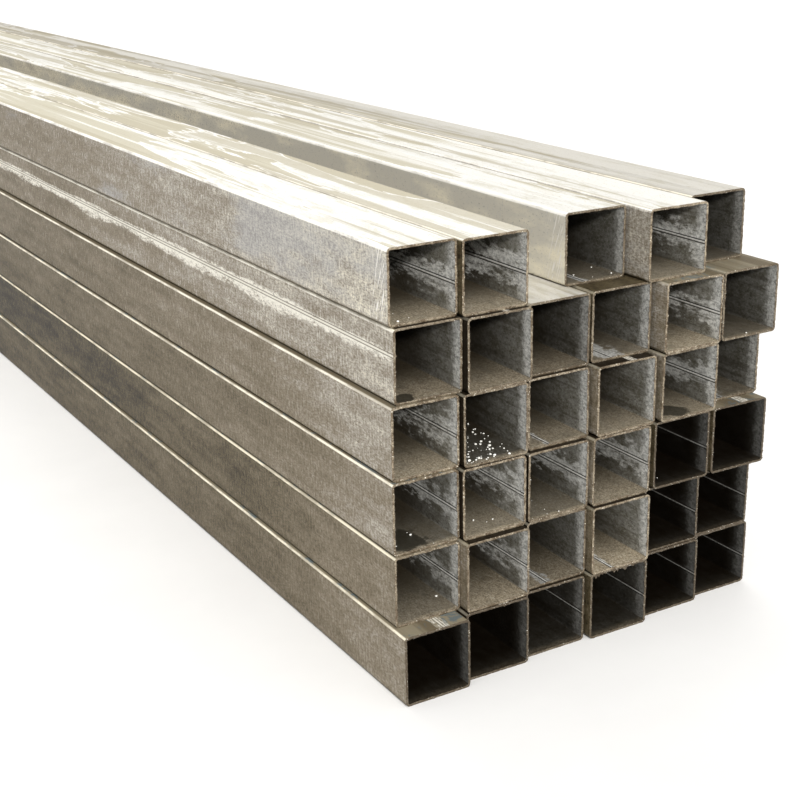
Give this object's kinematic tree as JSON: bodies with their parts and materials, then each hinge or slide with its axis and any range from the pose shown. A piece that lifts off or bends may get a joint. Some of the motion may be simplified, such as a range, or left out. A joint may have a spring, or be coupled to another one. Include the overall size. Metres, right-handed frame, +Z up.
{
  "type": "stack of square steel tubes",
  "caption": "Stack of long galvanised square steel tubes lying flat in rows, with uneven ends, round corners, open bores and a gap in the top row.",
  "frame": {"origin": "centre of the stack's box in X and Y, at the underside of the bottom row, which rests on the floor", "axes": "+Y along the tubes, from the uneven near ends towards the far ends; +X across the rows, from the first to the last column; +Z up"},
  "size_m": [0.634, 6.082, 0.6],
  "materials": {
    "galvanised_steel": "weathered hot-dip galvanised, dull satin with water stains"
  },
  "bodies": {
    "root": {"tube_row1_col1": "galvanised_steel", "tube_row1_col2": "galvanised_steel", "tube_row1_col3": "galvanised_steel", "tube_row1_col4": "galvanised_steel", "tube_row1_col5": "galvanised_steel", "tube_row1_col6": "galvanised_steel", "tube_row2_col1": "galvanised_steel", "tube_row2_col2": "galvanised_steel", "tube_row2_col3": "galvanised_steel", "tube_row2_col4": "galvanised_steel", "tube_row2_col5": "galvanised_steel", "tube_row2_col6": "galvanised_steel", "tube_row3_col1": "galvanised_steel", "tube_row3_col2": "galvanised_steel", "tube_row3_col3": "galvanised_steel", "tube_row3_col4": "galvanised_steel", "tube_row3_col5": "galvanised_steel", "tube_row3_col6": "galvanised_steel", "tube_row4_col1": "galvanised_steel", "tube_row4_col2": "galvanised_steel", "tube_row4_col3": "galvanised_steel", "tube_row4_col4": "galvanised_steel", "tube_row4_col5": "galvanised_steel", "tube_row4_col6": "galvanised_steel", "tube_row5_col1": "galvanised_steel", "tube_row5_col2": "galvanised_steel", "tube_row5_col3": "galvanised_steel", "tube_row5_col4": "galvanised_steel", "tube_row5_col5": "galvanised_steel", "tube_row5_col6": "galvanised_steel", "tube_row6_col1": "galvanised_steel", "tube_row6_col2": "galvanised_steel", "tube_row6_col4": "galvanised_steel", "tube_row6_col5": "galvanised_steel", "tube_row6_col6": "galvanised_steel"}
  },
  "joints": []
}
